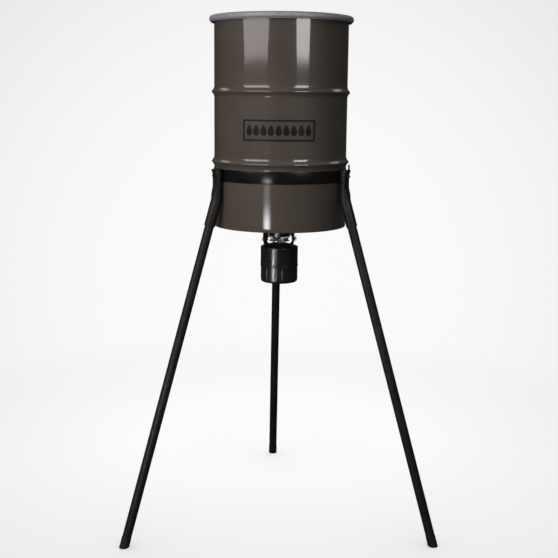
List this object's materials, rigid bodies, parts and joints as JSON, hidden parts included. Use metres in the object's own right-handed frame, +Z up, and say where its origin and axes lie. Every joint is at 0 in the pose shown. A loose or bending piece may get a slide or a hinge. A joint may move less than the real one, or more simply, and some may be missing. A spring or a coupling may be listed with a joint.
{
  "type": "game feeder",
  "caption": "Steel drum game feeder on a splayed tube tripod, with a battery spinner unit under the drum, a lid with a lever closing ring and a twist-off cap.",
  "frame": {"origin": "on the ground at the centre of the box round the three feet; the drum's axis stands 0.1556 m in front of it", "axes": "+Z up, -Y towards the feeder's front with its decal, +Y towards the third leg, +X to the right as seen from the front"},
  "size_m": [1.111, 0.9666, 1.8134],
  "materials": {
    "drum_paint": "glossy dark brown-grey enamel",
    "tripod_paint": "satin black powder coat",
    "ring_steel": "galvanised, dull grey",
    "zinc_plate": "bright zinc",
    "housing_plastic": "smooth black moulding",
    "black_rubber": "matt",
    "label_ink": "black printed decal",
    "battery_case": "black case",
    "circuit_board": "green laminate",
    "grey_plastic": "dark grey moulding",
    "display_window": "clear window",
    "strap_web": "woven nylon",
    "wire_cover": "insulated wire"
  },
  "bodies": {
    "drum_and_stand": {"drum_shell": "drum_paint", "drum_bottom_head": "drum_paint", "feed_funnel": "zinc_plate", "flange_screws": "zinc_plate", "flange_nuts": "zinc_plate", "post_screws": "zinc_plate", "hanger_bolts": "zinc_plate", "hanger_nuts": "zinc_plate", "motor_can": "zinc_plate", "motor_screws": "zinc_plate", "chassis_screws": "zinc_plate", "timer_screws": "zinc_plate", "battery_terminals": "zinc_plate", "drum_label": "label_ink", "bracket_bolts": "tripod_paint", "bracket_nuts": "tripod_paint", "support_band_front": "tripod_paint", "support_band_left": "tripod_paint", "support_band_right": "tripod_paint", "hanger_flange": "tripod_paint", "leg_bracket_left": "tripod_paint", "leg_bracket_right": "tripod_paint", "leg_bracket_rear": "tripod_paint", "upper_leg_left": "tripod_paint", "upper_leg_right": "tripod_paint", "upper_leg_rear": "tripod_paint", "lower_leg_left": "tripod_paint", "lower_leg_right": "tripod_paint", "lower_leg_rear": "tripod_paint", "housing_seal": "black_rubber", "foot_cap_left": "black_rubber", "foot_cap_right": "black_rubber", "foot_cap_rear": "black_rubber", "hanger_post_left": "housing_plastic", "hanger_post_right": "housing_plastic", "housing_shell": "housing_plastic", "chassis": "grey_plastic", "timer_faceplate": "grey_plastic", "battery": "battery_case", "timer_board": "circuit_board", "lcd_window": "display_window", "lcd_panel": "grey_plastic", "battery_strap": "strap_web", "motor_leads": "wire_cover", "battery_leads": "wire_cover"},
    "lid": {"lid": "drum_paint", "lid_gasket": "black_rubber", "locking_ring": "ring_steel", "ring_end_brackets": "ring_steel", "lever_pin": "zinc_plate"},
    "lever": {"ring_lever": "ring_steel"},
    "spinner": {"spinner_plate": "zinc_plate", "spinner_hub": "zinc_plate", "hub_set_screw": "zinc_plate", "motor_shaft": "zinc_plate"},
    "cap": {"housing_cap": "housing_plastic"},
    "button_down": {"timer_button_down": "grey_plastic"},
    "button_set": {"timer_button_set": "grey_plastic"},
    "button_up": {"timer_button_up": "grey_plastic"}
  },
  "joints": [
    {"name": "lid_lift", "type": "slide", "parent": "drum_and_stand", "child": "lid", "axis": [0, 0, 1], "range_m": [0, 0.3]},
    {"name": "ring_lever_swing", "type": "hinge", "parent": "lid", "child": "lever", "pos_m": [0.04463, 0.0975, 1.803], "axis": [0, 0, -1], "range_deg": [0, 150]},
    {"name": "spinner_spin", "type": "hinge", "parent": "drum_and_stand", "child": "spinner", "pos_m": [0, -0.1556, 1.03], "axis": [0, 0, 1], "continuous": true},
    {"name": "cap_drop", "type": "slide", "parent": "drum_and_stand", "child": "cap", "axis": [0, 0, -1], "range_m": [0, 0.15]},
    {"name": "button_down_press", "type": "slide", "parent": "drum_and_stand", "child": "button_down", "axis": [0, 1, 0], "range_m": [0, 0.0012], "stiffness_N_per_m": 400, "springref_m": -0.001},
    {"name": "button_set_press", "type": "slide", "parent": "drum_and_stand", "child": "button_set", "axis": [0, 1, 0], "range_m": [0, 0.0012], "stiffness_N_per_m": 400, "springref_m": -0.001},
    {"name": "button_up_press", "type": "slide", "parent": "drum_and_stand", "child": "button_up", "axis": [0, 1, 0], "range_m": [0, 0.0012], "stiffness_N_per_m": 400, "springref_m": -0.001}
  ]
}
